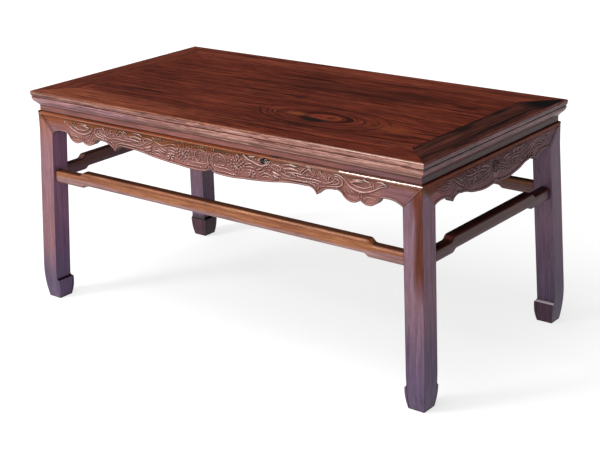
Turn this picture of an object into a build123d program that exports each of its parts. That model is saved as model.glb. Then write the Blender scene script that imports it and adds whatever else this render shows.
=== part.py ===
from build123d import *
import os

os.makedirs("parts", exist_ok=True)

# A waisted kang table: mitred frame with a floating panel, recessed waist,
# scalloped aprons, square legs with inward hoof feet and humpback stretchers.
# Origin at the middle of the footprint on the floor, X along the table, Z up.
# All sizes in millimetres.

# whole table
table_length = 838
table_width = 440
table_height = 394

# top frame
frame_width = 59
frame_thickness = 27.5
frame_edge_round = 3
upper_band = 9.6  # height of the upper band of the edge moulding
upper_band_inset = 1.4
quirk_width = 1.6  # groove between the two bands
quirk_depth = 1.2
lower_band = 11.4  # height of the quarter round under the groove
lower_band_inset = 7.6
frame_tenon_thickness = 8
frame_tenon_width = 24
frame_tenon_inset = 21  # from the outer edge to the tenon
frame_tenon_cover = 12  # wood left beyond the end of the tenon
frame_tenon_wall = 1.5  # wood between this tenon and the leg's

# floating panel and its battens
panel_thickness = 11
panel_gap = 0.3
panel_edge_ease = 0.4
tongue_thickness = 5
tongue_length = 7
groove_clearance = 1
batten_spacing = 240
batten_width = 26
batten_height = 14
dovetail_neck = 16
dovetail_flare = 2
dovetail_depth = 3.5
batten_tenon_width = 18
batten_tenon_thickness = 8
batten_tenon_length = 12

# waist
waist_height = 9.5
waist_recess = 3.3
waist_tongue = 2.5
waist_shoulder = 3.5

# legs
leg_inset = 8  # from the edge of the top to the faces of legs and aprons
leg_width = 34.5
leg_splay = 9
leg_arris_round = 1.5
curl_height = 64  # where the outer faces start to turn in
hoof_turn = 5  # how far the outer faces turn in at the floor
hoof_width = 28.5
hoof_height = 42
toe_height = 36
toe_reach = 4
toe_scoop = 1
hoof_belly = 1.6
leg_tenon_height = 8.5
leg_tenon_shoulder = 1

# shoulder between leg and aprons
shoulder_drop = 38.5
shoulder_lip = 3
key_depth = 5
key_neck = 6
key_head = 9

# aprons; depths are measured down from their top edge, and a bow is how far
# a curve of the lower edge stands off the straight line between its ends
apron_thickness = 13
apron_lip_round = 2.2
front_notch_depth = 40  # small notch at the middle, between two curls
curl_width = 14
curl_depth = 48.5
curl_bow = 2.2
belly_half_width = 68
belly_depth = 47.7
belly_bow = 1.4
slope_bow = 0.7
hook_depth = 36.7
hook_width = 19
hook_bow = 1.6
point_depth = 47.4  # sharp point beside the double lobe
barb_bow = 4
arch_width = 35
arch_depth = 33.5
arch_bow = 4
throat_width = 15
throat_bow = 2.6
lobe_width = 32
lobe_root_depth = 39.4
lobe_depth = 47.6
lobe_cusp_depth = 42
lobe_cusp_from_leg = 76.5
outer_throat_bow = 3
crown_depth = 31
crown_bow = 2.6
end_notch_depth = 47
end_curl_width = 12
end_curl_depth = 51.2
end_curl_bow = 1.4
end_belly_half_width = 58
end_belly_depth = 49.8
end_belly_bow = 2
end_slope_bow = 0.6
end_hook_depth = 40
end_hook_width = 24
end_hook_bow = 1.2
end_point_depth = 46.5
end_point_from_leg = 49
end_barb_bow = 4
end_arch_width = 22
end_arch_depth = 35.5
end_arch_bow = 3
end_crown_bow = 1.8

# humpback stretchers
stretcher_height = 22
stretcher_hump_height = 24
stretcher_underside = 225.5
stretcher_hump_lift = 5
stretcher_depth = 17
stretcher_setback = 4.5
stretcher_round = 5  # of the two outer arrises
stretcher_ease = 1.5  # of the two inner arrises
front_end_run = 55.5
side_end_run = 44.5
upper_step_run = 14
lower_step_run = 12
lower_step_lag = 8.5
stretcher_tenon_height = 13
stretcher_tenon_thickness = 7
stretcher_tenon_length = 13

# levels and faces that follow from the sizes above
frame_base = table_height - frame_thickness
apron_top = frame_base - waist_height
knee = apron_top - shoulder_drop
panel_base = table_height - panel_thickness
groove_depth = tongue_length + groove_clearance
post_width = leg_width - apron_thickness
post_inset = leg_inset + apron_thickness
leg_tenon_width = post_width / 2 - 2 * leg_tenon_shoulder
near_tenon_offset = post_inset + post_width / 4
far_tenon_offset = post_inset + 3 * post_width / 4
frame_tenon_base = frame_base + leg_tenon_height + frame_tenon_wall
opening_length = table_length - 2 * frame_width
opening_width = table_width - 2 * frame_width
stretcher_middle = stretcher_underside + stretcher_height / 2


def save(piece, name):
    piece.part.label = name
    export_step(piece.part, f"parts/{name}.step")


def save_pair(piece, name, opposite_name, about):
    save(piece, name)
    with BuildPart() as opposite:
        mirror(piece.part, about=about)
    save(opposite, opposite_name)


def edge_plane(width):
    # local x runs inwards from the front edge of a top of this width
    return Plane(origin=(0, -width / 2, 0), x_dir=(0, 1, 0), z_dir=(1, 0, 0))


def corner_mitre(length, width):
    # upright plane through the front right corner, facing outwards
    return Plane(origin=(length / 2, -width / 2, 0), z_dir=(1, 1, 0))


def splay_at(height):
    # how far the leg has moved outwards at this height
    return leg_splay * (knee - height) / (knee - curl_height)


# ---------------------------------------------------------------- top frame


def half_frame_member(length, width):
    # right half of the member along the front edge of a length by width top
    with BuildPart() as member:
        with BuildSketch(edge_plane(width)):
            with BuildLine():
                top = Line((frame_width, table_height), (frame_edge_round, table_height))
                nose = TangentArc(top @ 1, (0, table_height - frame_edge_round), tangent=(-1, 0))
                band_foot = table_height - upper_band
                band = TangentArc(nose @ 1, (upper_band_inset, band_foot), tangent=(0, -1))
                quirk_bed = (upper_band_inset + quirk_depth, band_foot - quirk_width / 2)
                quirk = Polyline(band @ 1, quirk_bed, (upper_band_inset, band_foot - quirk_width))
                lower_foot = band_foot - quirk_width - lower_band
                lower = TangentArc(quirk @ 1, (lower_band_inset, lower_foot), tangent=(0, -1))
                underside = Line(lower @ 1, (leg_inset + waist_recess, frame_base))
                Polyline(underside @ 1, (frame_width, frame_base), top @ 0)
            make_face()
            with Locations((frame_width, panel_base)):
                Rectangle(groove_depth, tongue_thickness, align=(Align.MAX, Align.MIN), mode=Mode.SUBTRACT)
            with Locations((post_inset, frame_base)):
                Rectangle(
                    apron_thickness - waist_recess - waist_shoulder,
                    waist_tongue,
                    align=(Align.MAX, Align.MIN),
                    mode=Mode.SUBTRACT,
                )
        extrude(amount=length / 2)
        split(bisect_by=corner_mitre(length, width), keep=Keep.BOTTOM)
        # socket for the leg tenon that enters this member
        with Locations((length / 2 - far_tenon_offset, -width / 2 + near_tenon_offset, frame_base)):
            Box(
                leg_tenon_width,
                leg_tenon_width,
                leg_tenon_height,
                align=(Align.CENTER, Align.CENTER, Align.MIN),
                mode=Mode.SUBTRACT,
            )
    return member.part


with BuildPart() as long_member:
    add(half_frame_member(table_length, table_width))
    # corner tenon, running out past the mitre
    tenon_end = table_length / 2 - frame_tenon_cover
    with Locations((tenon_end, -table_width / 2 + frame_tenon_inset, frame_tenon_base)):
        Box(
            frame_width + frame_tenon_inset,
            frame_tenon_width,
            frame_tenon_thickness,
            align=(Align.MAX, Align.MIN, Align.MIN),
        )
    # mortise for the end of the batten
    with Locations((batten_spacing / 2, -opening_width / 2, panel_base - batten_height / 2)):
        Box(
            batten_tenon_width,
            batten_tenon_length,
            batten_tenon_thickness,
            align=(Align.CENTER, Align.MAX, Align.CENTER),
            mode=Mode.SUBTRACT,
        )
    mirror(about=Plane.YZ)
save_pair(long_member, "frame_front", "frame_back", Plane.XZ)

with BuildPart() as short_member:
    add(half_frame_member(table_width, table_length))
    # mortise for the corner tenon of the long member
    mortise_x = table_width / 2 - frame_tenon_inset
    with Locations((mortise_x, -table_length / 2 + frame_tenon_cover, frame_tenon_base)):
        Box(
            frame_tenon_width,
            frame_width + frame_tenon_inset,
            frame_tenon_thickness,
            align=(Align.MAX, Align.MIN, Align.MIN),
            mode=Mode.SUBTRACT,
        )
    mirror(about=Plane.YZ)

with BuildPart() as right_member:
    add(short_member.part, rotation=(0, 0, 90))
save_pair(right_member, "frame_right", "frame_left", Plane.YZ)

# -------------------------------------------------- floating panel, battens


def dovetail(plane):
    with BuildSketch(plane) as tail:
        with BuildLine():
            neck = dovetail_neck / 2
            head = neck + dovetail_flare
            Polyline((-neck, 0), (-head, dovetail_depth), (head, dovetail_depth), (neck, 0), close=True)
        make_face()
    return tail.sketch


batten_planes = {
    side: Plane(origin=(place, 0, panel_base), x_dir=(1, 0, 0), z_dir=(0, -1, 0))
    for side, place in (("left", -batten_spacing / 2), ("right", batten_spacing / 2))
}

with BuildPart() as panel:
    with BuildSketch(Plane.XY.offset(panel_base)):
        Rectangle(opening_length + 2 * tongue_length, opening_width + 2 * tongue_length)
    extrude(amount=tongue_thickness)
    with BuildSketch(Plane.XY.offset(panel_base)):
        Rectangle(opening_length - 2 * panel_gap, opening_width - 2 * panel_gap)
    extrude(amount=panel_thickness)
    chamfer(panel.faces().sort_by(Axis.Z)[-1].edges(), length=panel_edge_ease)
    for plane in batten_planes.values():
        extrude(dovetail(plane), amount=table_width / 2, both=True, mode=Mode.SUBTRACT)
save(panel, "top_panel")

for side, plane in batten_planes.items():
    with BuildPart() as batten:
        with BuildSketch(plane):
            Rectangle(batten_width, batten_height, align=(Align.CENTER, Align.MAX))
        extrude(amount=opening_width / 2, both=True)
        extrude(dovetail(plane), amount=opening_width / 2, both=True)
        with BuildSketch(plane):
            with Locations((0, -batten_height / 2)):
                Rectangle(batten_tenon_width, batten_tenon_thickness)
        extrude(amount=opening_width / 2 + batten_tenon_length, both=True)
    save(batten, f"batten_{side}")

# -------------------------------------------------------------------- waist


def waist_strip(length, width):
    # strip between frame and apron along the front of a length by width top
    with BuildPart() as strip:
        with BuildSketch(edge_plane(width)):
            with Locations((post_inset, apron_top)):
                Rectangle(apron_thickness - waist_recess, waist_height, align=(Align.MAX, Align.MIN))
                Rectangle(
                    apron_thickness - waist_recess - waist_shoulder,
                    waist_height + waist_tongue,
                    align=(Align.MAX, Align.MIN),
                )
        extrude(amount=length / 2)
        split(bisect_by=corner_mitre(length, width), keep=Keep.BOTTOM)
        mirror(about=Plane.YZ)
    return strip.part


with BuildPart() as front_waist:
    add(waist_strip(table_length, table_width))
save_pair(front_waist, "waist_front", "waist_back", Plane.XZ)

with BuildPart() as right_waist:
    add(waist_strip(table_width, table_length), rotation=(0, 0, 90))
save_pair(right_waist, "waist_right", "waist_left", Plane.YZ)

# --------------------------------------------------------------------- legs

leg_x = table_length / 2 - leg_inset
leg_y = table_width / 2 - leg_inset
leg_corner = (leg_x, -leg_y, 0)


def shoulder_key(length, width):
    # dovetail key that stands on the leg post and holds the apron from behind
    middle = length / 2 - post_inset - post_width / 2
    root = -width / 2 + post_inset
    tip = root - key_depth
    with BuildSketch(Plane.XY.offset(knee)) as key:
        with BuildLine():
            Polyline(
                (middle - key_neck / 2, root),
                (middle - key_head / 2, tip),
                (middle + key_head / 2, tip),
                (middle + key_neck / 2, root),
                close=True,
            )
        make_face()
    return key.sketch


def shoulder_space(length, width):
    # everything above the sloping shoulder, in the thickness of the apron
    with BuildPart() as space:
        with BuildSketch(Plane.XZ.offset(width / 2 - leg_inset)):
            with BuildLine():
                arris = length / 2 - leg_inset
                Polyline(
                    (arris + leg_inset, apron_top - shoulder_lip),
                    (arris, apron_top - shoulder_lip),
                    (arris - leg_width, knee),
                    (arris - leg_width, apron_top + waist_height),
                    (arris + leg_inset, apron_top + waist_height),
                    close=True,
                )
            make_face()
        extrude(amount=-apron_thickness)
        extrude(shoulder_key(length, width), amount=shoulder_drop, mode=Mode.SUBTRACT)
    return space.part


def leg_elevation(view):
    # local x runs inwards from the outer arris, local y is height
    shaft_inner = leg_width - splay_at(hoof_height)
    toe_inner = leg_width - splay_at(toe_height) + toe_reach
    sole_outer = hoof_turn - leg_splay
    with BuildSketch(view) as elevation:
        with BuildLine():
            outer = Polyline((0, apron_top), (0, knee), (-leg_splay, curl_height))
            curl = TangentArc(outer @ 1, (sole_outer, 0), tangent=outer % 1)
            sole = Line(curl @ 1, (sole_outer + hoof_width, 0))
            belly = SagittaArc(sole @ 1, (toe_inner, toe_height), -hoof_belly)
            scoop = SagittaArc(belly @ 1, (shaft_inner, hoof_height), toe_scoop)
            Polyline(scoop @ 1, (leg_width, knee), (leg_width, apron_top), (0, apron_top))
        make_face()
    return elevation.sketch


front_view = Plane(origin=leg_corner, x_dir=(-1, 0, 0), z_dir=(0, 1, 0))
side_view = Plane(origin=leg_corner, x_dir=(0, 1, 0), z_dir=(1, 0, 0))
leg_diagonal = corner_mitre(table_length, table_width)


def stretcher_tenon(length, width):
    # tenon of the front stretcher, at its right end
    inner_face = length / 2 - leg_inset - leg_width + splay_at(stretcher_middle)
    front_face = -width / 2 + leg_inset - splay_at(stretcher_middle) + stretcher_setback
    with BuildPart() as tenon:
        with Locations((inner_face, front_face + stretcher_depth / 2, stretcher_middle)):
            Box(2 * stretcher_tenon_length, stretcher_tenon_thickness, stretcher_tenon_height)
    return tenon.part


leg_outwards = Axis((0, 0, 0), (1, -1, 0))

with BuildPart() as leg:
    reach = leg_width + leg_splay + toe_reach
    extrude(leg_elevation(front_view), amount=reach, both=True)
    extrude(leg_elevation(side_view), amount=reach, both=True, mode=Mode.INTERSECT)
    outer_arris = leg.edges().sort_by(leg_outwards)[-3:]
    fillet(outer_arris, radius=leg_arris_round)
    space = shoulder_space(table_length, table_width)
    add(space, mode=Mode.SUBTRACT)
    mirror(space, about=leg_diagonal, mode=Mode.SUBTRACT)
    # post behind the waist, with one tenon for each member of the frame
    post_middle = post_inset + post_width / 2
    with Locations((table_length / 2 - post_middle, -table_width / 2 + post_middle, knee)):
        Box(post_width, post_width, frame_base - knee, align=(Align.CENTER, Align.CENTER, Align.MIN))
    tenon_offsets = ((far_tenon_offset, near_tenon_offset), (near_tenon_offset, far_tenon_offset))
    for offset_x, offset_y in tenon_offsets:
        with Locations((table_length / 2 - offset_x, -table_width / 2 + offset_y, frame_base)):
            Box(
                leg_tenon_width,
                leg_tenon_width,
                leg_tenon_height,
                align=(Align.CENTER, Align.CENTER, Align.MIN),
            )
    tenon = stretcher_tenon(table_length, table_width)
    add(tenon, mode=Mode.SUBTRACT)
    mirror(tenon, about=leg_diagonal, mode=Mode.SUBTRACT)
save_pair(leg, "leg_front_right", "leg_front_left", Plane.YZ)

with BuildPart() as back_leg:
    mirror(leg.part, about=Plane.XZ)
save_pair(back_leg, "leg_back_right", "leg_back_left", Plane.YZ)

# ------------------------------------------------------------------- aprons


def down(depth):
    return apron_top - depth


def shaped_apron(length, width, outline):
    # apron under the front of a length by width top, from half of its lower edge
    arris = length / 2 - leg_inset
    with BuildPart() as apron:
        with BuildSketch(Plane.XZ.offset(width / 2 - leg_inset)):
            with BuildLine():
                add(outline)
                Polyline((arris - leg_width, knee), (arris, apron_top - shoulder_lip), (arris, apron_top))
                Polyline((arris, apron_top), (0, apron_top), outline @ 0)
            make_face()
        extrude(amount=-apron_thickness)
        lip = apron.edges().filter_by(Axis.X).group_by(Axis.Z)[-1].sort_by(Axis.Y)[0]
        fillet(lip, radius=apron_lip_round)
        split(bisect_by=corner_mitre(length, width), keep=Keep.BOTTOM)
        extrude(shoulder_key(length, width), amount=shoulder_drop, mode=Mode.SUBTRACT)
        mirror(about=Plane.YZ)
    return apron.part


leg_side = leg_x - leg_width
lobe_cusp = leg_side - lobe_cusp_from_leg
arch_end = lobe_cusp - lobe_width - throat_width
point = arch_end - arch_width
hook = point - hook_width
slope_middle = ((belly_half_width + hook) / 2, down((belly_depth + hook_depth) / 2))

# lower edge of the long aprons, from the middle to the leg
with BuildLine() as front_outline:
    curl = SagittaArc((0, down(front_notch_depth)), (curl_width, down(curl_depth)), -curl_bow)
    belly = SagittaArc(curl @ 1, (belly_half_width, down(belly_depth)), -belly_bow)
    slope = SagittaArc(belly @ 1, slope_middle, -slope_bow)
    rise = SagittaArc(slope @ 1, (hook, down(hook_depth)), hook_bow)
    barb = SagittaArc(rise @ 1, (point, down(point_depth)), barb_bow)
    arch = SagittaArc(barb @ 1, (arch_end, down(arch_depth)), arch_bow)
    throat = SagittaArc(arch @ 1, (lobe_cusp - lobe_width, down(lobe_root_depth)), throat_bow)
    lobe_bulge = (lobe_root_depth + lobe_cusp_depth) / 2 - lobe_depth
    inner_lobe = SagittaArc(throat @ 1, (lobe_cusp, down(lobe_cusp_depth)), lobe_bulge)
    outer_lobe = SagittaArc(inner_lobe @ 1, (lobe_cusp + lobe_width, down(lobe_root_depth)), lobe_bulge)
    outer_throat_end = (lobe_cusp + lobe_width + throat_width, down(crown_depth))
    outer_throat = SagittaArc(outer_lobe @ 1, outer_throat_end, outer_throat_bow)
    crown = SagittaArc(outer_throat @ 1, (leg_side, knee), crown_bow)

with BuildPart() as front_apron:
    add(shaped_apron(table_length, table_width, front_outline.line))
save_pair(front_apron, "apron_front", "apron_back", Plane.XZ)

end_leg_side = leg_y - leg_width
end_point = end_leg_side - end_point_from_leg
end_hook = end_point - end_hook_width
end_slope_middle = ((end_belly_half_width + end_hook) / 2, down((end_belly_depth + end_hook_depth) / 2))

# lower edge of the short aprons, from the middle to the leg
with BuildLine() as end_outline:
    end_curl = SagittaArc((0, down(end_notch_depth)), (end_curl_width, down(end_curl_depth)), -end_curl_bow)
    end_belly = SagittaArc(end_curl @ 1, (end_belly_half_width, down(end_belly_depth)), -end_belly_bow)
    end_slope = SagittaArc(end_belly @ 1, end_slope_middle, -end_slope_bow)
    end_rise = SagittaArc(end_slope @ 1, (end_hook, down(end_hook_depth)), end_hook_bow)
    end_barb = SagittaArc(end_rise @ 1, (end_point, down(end_point_depth)), end_barb_bow)
    end_arch_crown = (end_point + end_arch_width, down(end_arch_depth))
    end_arch = SagittaArc(end_barb @ 1, end_arch_crown, end_arch_bow)
    end_crown = SagittaArc(end_arch @ 1, (end_leg_side, knee), end_crown_bow)

with BuildPart() as right_apron:
    add(shaped_apron(table_width, table_length, end_outline.line), rotation=(0, 0, 90))
save_pair(right_apron, "apron_right", "apron_left", Plane.YZ)

# --------------------------------------------------------------- stretchers


def humpback_stretcher(length, width, end_run):
    # stretcher under the front of a length by width top, drawn as its right half
    front_face = -width / 2 + leg_inset - splay_at(stretcher_middle) + stretcher_setback
    end_top = stretcher_underside + stretcher_height
    hump_base = stretcher_underside + stretcher_hump_lift
    hump_top = hump_base + stretcher_hump_height
    leg_face = length / 2 - leg_inset - leg_width
    upper_foot = leg_face - end_run
    lower_foot = upper_foot - lower_step_lag
    with BuildPart() as stretcher:
        with BuildSketch(Plane.XZ.offset(-front_face)):
            with BuildLine():
                hump = Line((0, hump_top), (upper_foot - upper_step_run, hump_top))
                brow_end = (upper_foot - upper_step_run / 2, (hump_top + end_top) / 2)
                brow = TangentArc(hump @ 1, brow_end, tangent=(1, 0))
                step = TangentArc(brow @ 1, (upper_foot, end_top), tangent=brow % 1)
                end_face_top = (leg_face + splay_at(end_top), end_top)
                end_face_foot = (leg_face + splay_at(stretcher_underside), stretcher_underside)
                Polyline(step @ 1, end_face_top, end_face_foot, (lower_foot, stretcher_underside))
                under_middle = (lower_foot - lower_step_run / 2, (stretcher_underside + hump_base) / 2)
                under = TangentArc((lower_foot, stretcher_underside), under_middle, tangent=(-1, 0))
                under_end = (lower_foot - lower_step_run, hump_base)
                under_step = TangentArc(under @ 1, under_end, tangent=under % 1)
                Polyline(under_step @ 1, (0, hump_base), hump @ 0)
            make_face()
        extrude(amount=-stretcher_depth)
        across = stretcher.faces().sort_by(Axis.Y)
        along = stretcher.faces().sort_by(Axis.X)
        end_edges = along[0].edges() + along[-1].edges()
        fillet([edge for edge in across[0].edges() if edge not in end_edges], radius=stretcher_round)
        chamfer([edge for edge in across[-1].edges() if edge not in end_edges], length=stretcher_ease)
        add(stretcher_tenon(length, width))
        mirror(about=Plane.YZ)
    return stretcher.part


with BuildPart() as front_stretcher:
    add(humpback_stretcher(table_length, table_width, front_end_run))
save_pair(front_stretcher, "stretcher_front", "stretcher_back", Plane.XZ)

with BuildPart() as right_stretcher:
    add(humpback_stretcher(table_width, table_length, side_end_run), rotation=(0, 0, 90))
save_pair(right_stretcher, "stretcher_right", "stretcher_left", Plane.YZ)
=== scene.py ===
import math
import random
import bpy
from mathutils import Matrix, Vector


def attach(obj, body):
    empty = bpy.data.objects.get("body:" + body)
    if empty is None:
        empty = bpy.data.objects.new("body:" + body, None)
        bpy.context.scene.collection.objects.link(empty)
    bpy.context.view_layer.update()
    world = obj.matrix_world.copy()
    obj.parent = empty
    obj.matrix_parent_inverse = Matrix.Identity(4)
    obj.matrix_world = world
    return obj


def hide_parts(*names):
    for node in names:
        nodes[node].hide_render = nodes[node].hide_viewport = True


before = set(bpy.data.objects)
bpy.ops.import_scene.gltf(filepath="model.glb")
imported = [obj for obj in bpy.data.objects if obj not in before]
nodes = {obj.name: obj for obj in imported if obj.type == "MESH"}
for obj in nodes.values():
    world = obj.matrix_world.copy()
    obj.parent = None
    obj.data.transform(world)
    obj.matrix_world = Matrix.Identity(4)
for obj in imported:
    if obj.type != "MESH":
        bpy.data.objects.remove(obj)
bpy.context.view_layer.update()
print("frame loaded:", len(nodes), "nodes")

mm = 0.001


def hexColor(code):
    channels = [int(code[i:i + 2], 16) / 255 for i in (1, 3, 5)]
    linear = [c / 12.92 if c <= 0.04045 else ((c + 0.055) / 1.055) ** 2.4 for c in channels]
    return (*linear, 1.0)


def addNode(tree, kind, settings=None, inputs=None):
    # an input is linked if it is a socket, and set if it is a value
    node = tree.nodes.new(kind)
    for name, value in (settings or {}).items():
        setattr(node, name, value)
    for name, value in (inputs or {}).items():
        if isinstance(value, bpy.types.NodeSocket):
            tree.links.new(value, node.inputs[name])
        else:
            node.inputs[name].default_value = value
    return node


def mathNode(tree, operation, *values):
    return addNode(tree, "ShaderNodeMath", {"operation": operation}, dict(enumerate(values))).outputs[0]


def offMiddle(tree, pattern):
    return mathNode(tree, "SUBTRACT", pattern, 0.5)


def vectorMath(tree, operation, *values):
    node = addNode(tree, "ShaderNodeVectorMath", {"operation": operation}, dict(enumerate(values)))
    return node.outputs["Value" if operation in ("DOT_PRODUCT", "LENGTH") else "Vector"]


def splitAxes(tree, vector):
    return addNode(tree, "ShaderNodeSeparateXYZ", {}, {0: vector}).outputs


def shiftedY(tree, vector, shift):
    return vectorMath(tree, "ADD", vector, addNode(tree, "ShaderNodeCombineXYZ", {}, {"Y": shift}).outputs[0])


def blendColors(tree, factor, first, second):
    # 6, 7 and 2 are the node's sockets for colors
    return addNode(tree, "ShaderNodeMix", {"data_type": "RGBA"}, {
        "Factor": factor, 6: first, 7: second}).outputs[2]


def easeBetween(tree, value, low, high, toLow=0.0, toHigh=1.0, curve="SMOOTHSTEP"):
    return addNode(tree, "ShaderNodeMapRange", {"interpolation_type": curve}, {
        "Value": value, "From Min": low, "From Max": high, "To Min": toLow, "To Max": toHigh}).outputs["Result"]


def scaledNoise(tree, vector, scale, detail, roughness=0.55, distortion=0.0):
    stretched = addNode(tree, "ShaderNodeMapping", {}, {"Vector": vector, "Scale": scale}).outputs["Vector"]
    return addNode(tree, "ShaderNodeTexNoise", {}, {
        "Vector": stretched, "Scale": 1.0, "Detail": detail, "Roughness": roughness,
        "Distortion": distortion}).outputs["Fac"]


def newMaterial(name):
    material = bpy.data.materials.new(name)
    material.use_nodes = True
    material.node_tree.nodes.clear()
    return material, material.node_tree


grainTurn = {"x": (0, 0, 0), "y": (0, 0, math.radians(-90)), "z": (0, math.radians(90), 0)}

# rosewood, planed and rubbed with oil and wax: fine dark streaks along a red-brown ground,
# short open pores, and a satin gloss that breaks up a little along the grain
rosewood = {
    "streakWidth": 7 * mm,
    "streakLength": 380 * mm,
    "fiberWidth": 2.2 * mm,
    "fiberLength": 55 * mm,
    "poreWidth": 0.625 * mm,    # drawn about twice the real width, so that it shows
    "poreLength": 13.75 * mm,
    "poreRange": (0.56, 0.70),  # of the noise: higher is fewer pores
    "lineWidth": 2.6 * mm,
    "lineLength": 210 * mm,
    "lineRange": (0.55, 0.63),
    "blotch": 150 * mm,
    "blotchNarrow": 3.5,        # times longer than wide
    "wave": 9 * mm,             # how far the grain sways
    "streaks": 0.85,            # how much each pattern moves the tone
    "fibers": 0.75,
    "blotches": 0.35,
    "pores": 0.16,
    "lines": 0.0,
    "toneStops": (0.15, 0.5, 0.85),
    "roughness": 0.34,
    "roughnessSpread": (-0.05, 0.08),
    "gloss": 0.17,              # Specular IOR Level: wax rubbed thin
    "bump": 0.12 * mm,
    "poreSink": 0.6,            # of the bump, against the fibers
    "coat": 0.06,               # the last, hard coat of wax
    "coatRoughness": 0.12,
    "dirtReach": 3.5 * mm,      # old wax and painted shade darken this far out of a corner
    "dirtFrom": 0.80,
    "dirtTo": 0.25,
    "dirtShadeColor": "#24110e",
    "dirt": 0.85,
    "dirtRoughness": 0.9,
}


class Wood:
    # one board's material while it is being built: features then change its color
    def __init__(self, name, grain, shift, values):
        self.values = values
        self.material, self.tree = newMaterial(name)
        tree = self.tree
        self.place = addNode(tree, "ShaderNodeTexCoord").outputs["Object"]
        self.axes = splitAxes(tree, self.place)
        self.normal = splitAxes(tree, addNode(tree, "ShaderNodeNewGeometry").outputs["Normal"])
        self.along = addNode(tree, "ShaderNodeMapping", {}, {
            "Vector": self.place, "Rotation": grainTurn[grain], "Location": shift}).outputs["Vector"]

    def grainNoise(self, kind, detail, roughness=0.55, distortion=0.0):
        # noise drawn out along the grain, as wide and long as one kind of mark
        width, length = self.values[kind + "Width"], self.values[kind + "Length"]
        return scaledNoise(self.tree, self.along, (1 / length, 1 / width, 1 / width), detail, roughness, distortion)

    def grow(self):
        tree, values = self.tree, self.values
        reach = 1 / values["blotch"]
        narrow = reach * values["blotchNarrow"]
        self.blotches = scaledNoise(tree, self.along, (reach, narrow, narrow), 2.0)
        sway = mathNode(tree, "MULTIPLY", offMiddle(tree, self.blotches), values["wave"])
        self.along = shiftedY(tree, self.along, sway)
        self.streaks = self.grainNoise("streak", 7.0, 0.68, 0.25)
        self.fibers = self.grainNoise("fiber", 3.0, 0.6, 0.4)
        self.pores = easeBetween(tree, self.grainNoise("pore", 1.0), *values["poreRange"], curve="LINEAR")
        tone = 0.5
        for pattern, kind in ((self.streaks, "streaks"), (self.fibers, "fibers"), (self.blotches, "blotches")):
            tone = mathNode(tree, "MULTIPLY_ADD", offMiddle(tree, pattern), values[kind], tone)
        tone = mathNode(tree, "MULTIPLY_ADD", self.pores, -values["pores"], tone)
        if values["lines"]:
            lines = easeBetween(tree, self.grainNoise("line", 2.0), *values["lineRange"])
            tone = mathNode(tree, "MULTIPLY_ADD", lines, -values["lines"], tone)
        self.tone = tone
        smooth, rough = (values["roughness"] + change for change in values["roughnessSpread"])
        self.rough = easeBetween(tree, self.streaks, 0.3, 0.7, smooth, rough, curve="LINEAR")

    def tint(self, codes):
        # dark streak, ground and light streak, or one color for all
        if isinstance(codes, str):
            return hexColor(codes)
        node = addNode(self.tree, "ShaderNodeValToRGB", {}, {"Fac": self.tone})
        elements = node.color_ramp.elements
        elements.new(0.5)
        for element, position, code in zip(elements, self.values["toneStops"], codes):
            element.position = position
            element.color = hexColor(code)
        return node.outputs["Color"]

    def wobbled(self, value, wobble):
        if not wobble:
            return value
        tree = self.tree
        value = mathNode(tree, "MULTIPLY_ADD", offMiddle(tree, self.blotches), wobble, value)
        return mathNode(tree, "MULTIPLY_ADD", offMiddle(tree, self.streaks), wobble * 0.5, value)

    def inOval(self, center, radii):
        # the place seen from an oval's center, where 1 is its edge; with two radii the height is left out
        scale = (*(1 / (radius * mm) for radius in radii), 0)[:3]
        moved = vectorMath(self.tree, "SUBTRACT", self.place, Vector(center) * mm)
        return vectorMath(self.tree, "MULTIPLY", moved, scale)

    def blend(self, mask, codes):
        self.color = blendColors(self.tree, mask, self.color, self.tint(codes))

    def finish(self):
        tree, values = self.tree, self.values
        # ambient occlusion darkens corners and creases: old wax dirt and painted shade
        corner = addNode(tree, "ShaderNodeAmbientOcclusion", {"samples": 8}, {
            "Distance": values["dirtReach"]}).outputs["AO"]
        dirt = easeBetween(tree, corner, values["dirtFrom"], values["dirtTo"], 0.0, values["dirt"])
        self.blend(dirt, values["dirtShadeColor"])
        dirtRough = (*[values["dirtRoughness"]] * 3, 1.0)
        height = mathNode(tree, "MULTIPLY_ADD", self.pores, -values["poreSink"], self.fibers)
        bump = addNode(tree, "ShaderNodeBump", {}, {
            "Height": height, "Strength": 0.5, "Distance": values["bump"]}).outputs["Normal"]
        shader = addNode(tree, "ShaderNodeBsdfPrincipled", {}, {
            "Base Color": self.color, "Roughness": blendColors(tree, dirt, self.rough, dirtRough),
            "Specular IOR Level": values["gloss"], "Coat Weight": values["coat"],
            "Coat Roughness": values["coatRoughness"], "Normal": bump}).outputs["BSDF"]
        addNode(tree, "ShaderNodeOutputMaterial", {}, {"Surface": shader})
        return self.material


def makeRosewood(name, grain, shift, palette, features=(), figure=None, **changes):
    wood = Wood(name, grain, shift, {**rosewood, **changes})
    if figure:
        figure(wood)
    wood.grow()
    wood.color = wood.tint(palette)
    for feature in features:
        feature(wood)
    return wood.finish()


# features of a wood: their places and sizes are in mm


def bandMask(wood, mask, bands, wobble=0):
    # a band is (axis, from, to), and eases in between the two; nx, ny and nz are the normal's axes
    for axis, low, high in bands:
        if axis[0] == "n":
            value = easeBetween(wood.tree, wood.normal[axis[1].upper()], low, high)
        else:
            value = wood.axes[axis[-1]]
            if axis[:3] == "abs":
                value = mathNode(wood.tree, "ABSOLUTE", value)
            value = easeBetween(wood.tree, wood.wobbled(value, wobble * mm), low * mm, high * mm)
        mask = mathNode(wood.tree, "MULTIPLY", mask, value)
    return mask


def stain(codes, *bands, wobble=0, amount=1.0):
    # a tint where every band holds
    def paint(wood):
        wood.blend(bandMask(wood, amount, bands, wobble), codes)
    return paint


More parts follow.
